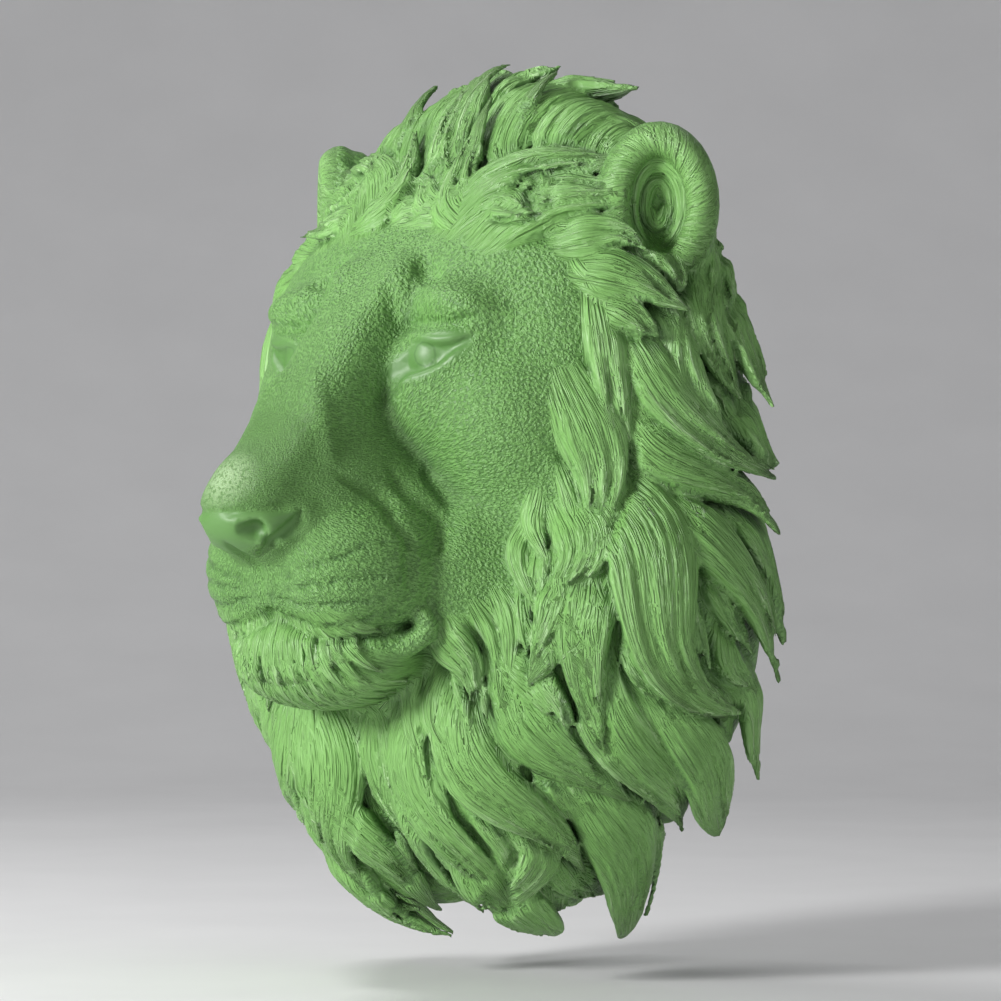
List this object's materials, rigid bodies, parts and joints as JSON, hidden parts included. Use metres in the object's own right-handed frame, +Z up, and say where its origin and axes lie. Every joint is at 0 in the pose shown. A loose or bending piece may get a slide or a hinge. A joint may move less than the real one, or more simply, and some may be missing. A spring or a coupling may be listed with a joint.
{
  "type": "lion head wall mask",
  "caption": "Cast lion head with a full mane of carved locks, half closed eyes and rounded ears, flat behind with a keyhole, that hangs on a wall as an ornament.",
  "frame": {"origin": "on the flat back, level with the tip of the nose, in the middle from side to side", "axes": "the lion looks along -Y, +Z up, +X towards the lion's left; the flat back lies in the plane y = 0"},
  "size_m": [0.3198, 0.2139, 0.4132],
  "materials": {
    "resin": "cast resin with a satin leaf green paint, lighter on the raised hair and darker in the grooves"
  },
  "bodies": {
    "root": {"lion_head_mask": "resin"}
  },
  "joints": []
}
